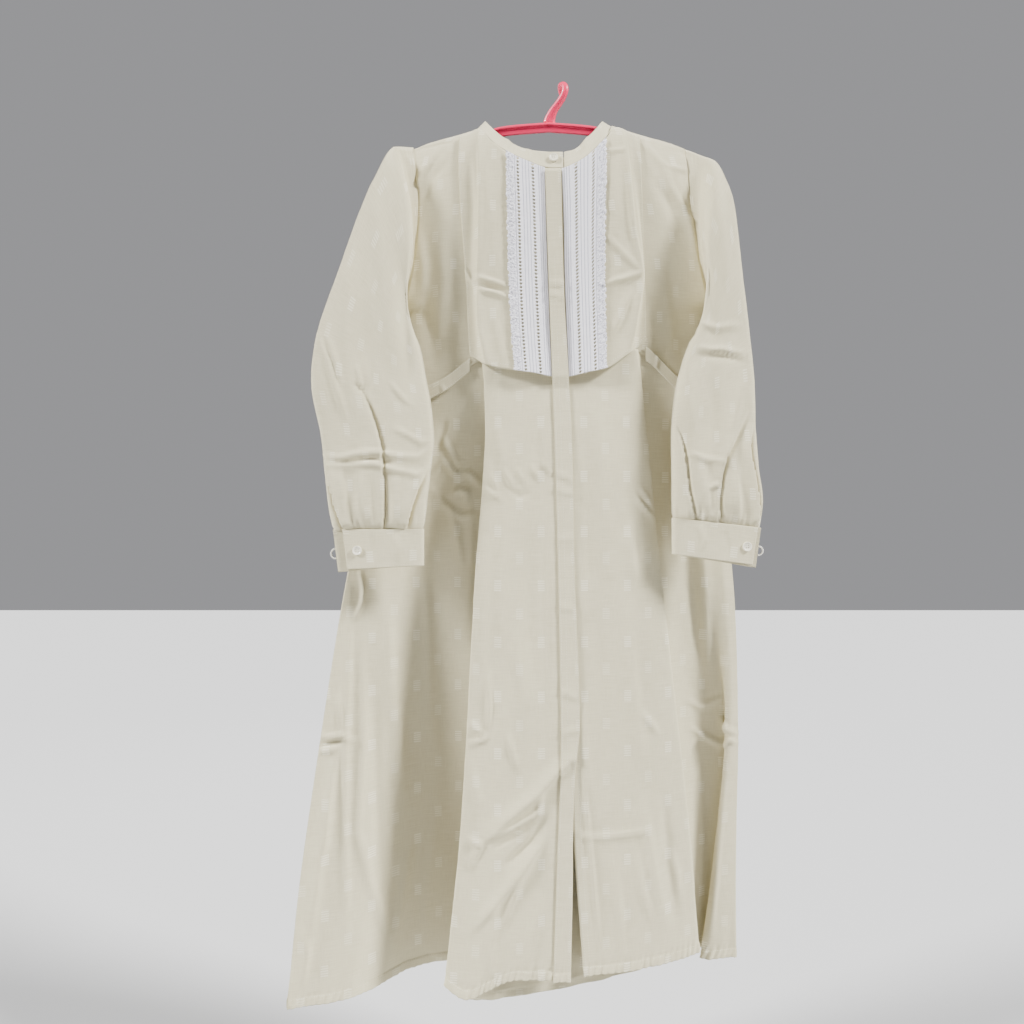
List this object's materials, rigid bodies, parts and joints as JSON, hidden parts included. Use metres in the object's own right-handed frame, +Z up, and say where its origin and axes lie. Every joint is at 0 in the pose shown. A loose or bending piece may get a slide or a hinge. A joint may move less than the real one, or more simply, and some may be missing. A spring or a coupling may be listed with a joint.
{
  "type": "tunic on a clothes hanger",
  "caption": "Long-sleeved A-line tunic with band collar, lace-trimmed free bib, hidden-button placket and pleated skirt, hanging on a one-piece hanger.",
  "frame": {"origin": "inside of the hanger's hook, where it rests on a rail or peg", "axes": "+Z up, the garment's front faces -Y, +X to the right of someone looking at the front"},
  "size_m": [0.5687, 0.135, 1.1341],
  "materials": {
    "cloth": "matte slubby plain weave with small woven dashes",
    "lace": "white embroidered eyelet lace",
    "button": "satin cream",
    "cord": "twisted cotton cord",
    "plastic": "satin moulded coral pink"
  },
  "bodies": {
    "root": {"hanger": "plastic", "collar": "cloth", "back": "cloth", "placket": "cloth", "collar_button": "button", "cuff_button_l": "button", "cuff_button_r": "button", "cuff_loop_l": "cord", "cuff_loop_r": "cord", "bodice_front_l": "cloth", "skirt_front_l": "cloth", "bib_l": "cloth", "band_l": "cloth", "sleeve_l": "cloth", "cuff_l": "cloth", "lace_l": "lace", "bodice_front_r": "cloth", "skirt_front_r": "cloth", "bib_r": "cloth", "band_r": "cloth", "sleeve_r": "cloth", "cuff_r": "cloth", "lace_r": "lace"}
  },
  "joints": []
}
